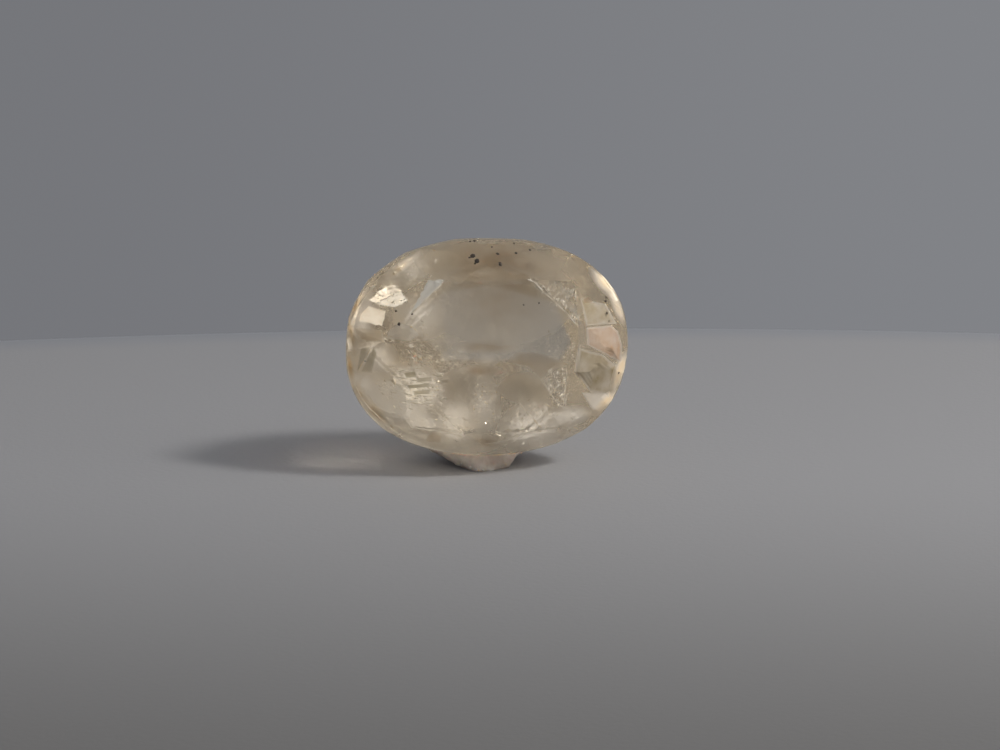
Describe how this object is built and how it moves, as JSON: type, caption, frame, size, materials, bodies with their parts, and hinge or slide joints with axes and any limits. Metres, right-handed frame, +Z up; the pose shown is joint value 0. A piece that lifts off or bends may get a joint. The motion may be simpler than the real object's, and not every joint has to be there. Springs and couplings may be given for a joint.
{
  "type": "yellow sapphire",
  "caption": "Oval faceted pale yellow sapphire with natural inclusions, stood upright on its edge in a small lump of display wax.",
  "frame": {"origin": "on the surface that the wax stands on, under the middle of the bounding box", "axes": "+X along the oval's length, -Y out of the table, which faces the viewer, +Z up"},
  "size_m": [0.011, 0.0058, 0.0092],
  "materials": {
    "sapphire": "polished, pale straw yellow, with clouds and fine fractures inside",
    "wax": "soft beige display wax, slightly translucent"
  },
  "bodies": {
    "root": {"sapphire": "sapphire", "wax_foot": "wax"}
  },
  "joints": []
}
